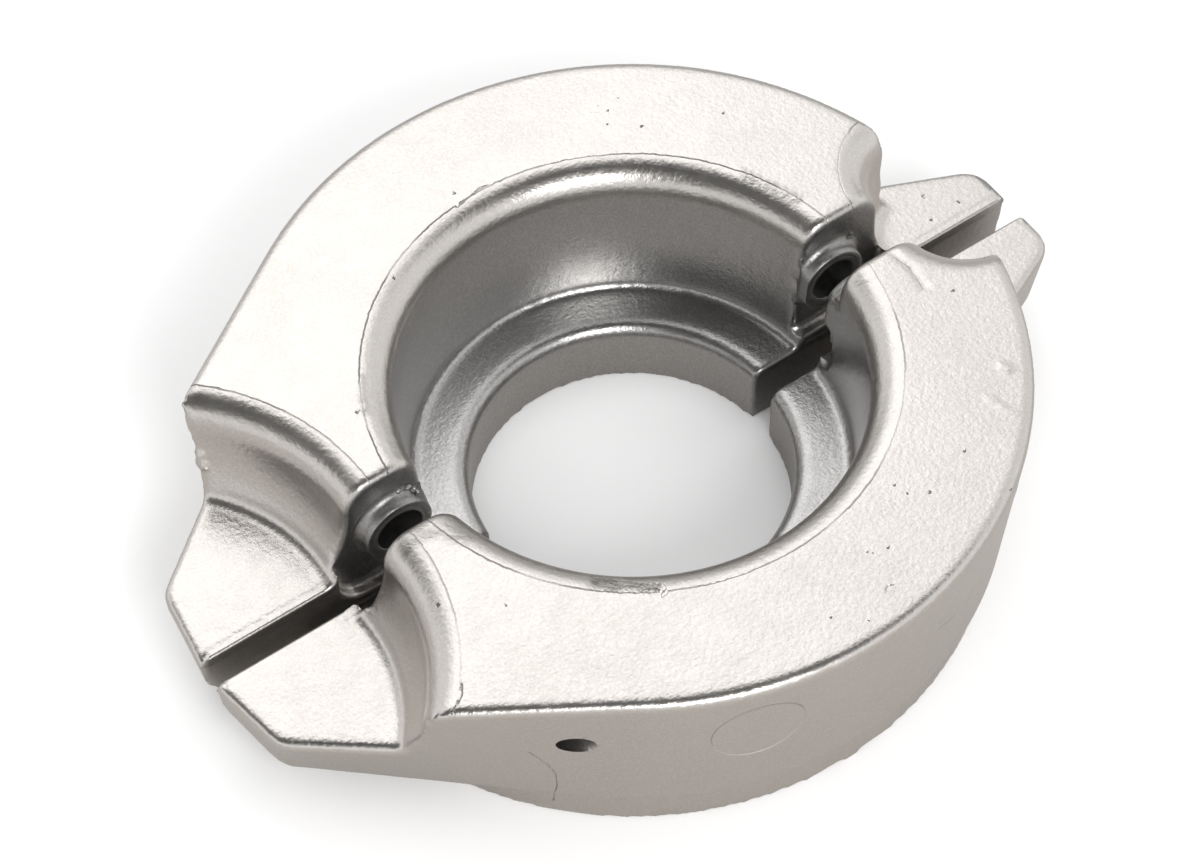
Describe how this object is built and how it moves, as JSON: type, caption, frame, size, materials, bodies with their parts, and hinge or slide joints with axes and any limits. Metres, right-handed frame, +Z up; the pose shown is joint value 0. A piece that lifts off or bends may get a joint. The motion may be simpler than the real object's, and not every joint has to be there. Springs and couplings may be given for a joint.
{
  "type": "split collar anode",
  "caption": "Two-part zinc sacrificial anode that clamps round a hub, with a recessed seat, screw lugs and two fins along the split.",
  "frame": {"origin": "on the axis of the hub bore, at the base face of the rim", "axes": "+Z up along the hub bore, from the rim to the flat top; +X along the split, towards the narrow fin; +Y towards the plain half, which takes the screw heads"},
  "size_m": [0.1626, 0.1288, 0.0396],
  "materials": {
    "cast_zinc": "as-cast zinc, satin grey with a fine leathery grain",
    "sleeve_steel": "turned steel, dull grey"
  },
  "bodies": {
    "root": {"plain_half": "cast_zinc", "tapped_half": "cast_zinc", "screw_sleeves": "sleeve_steel"}
  },
  "joints": []
}
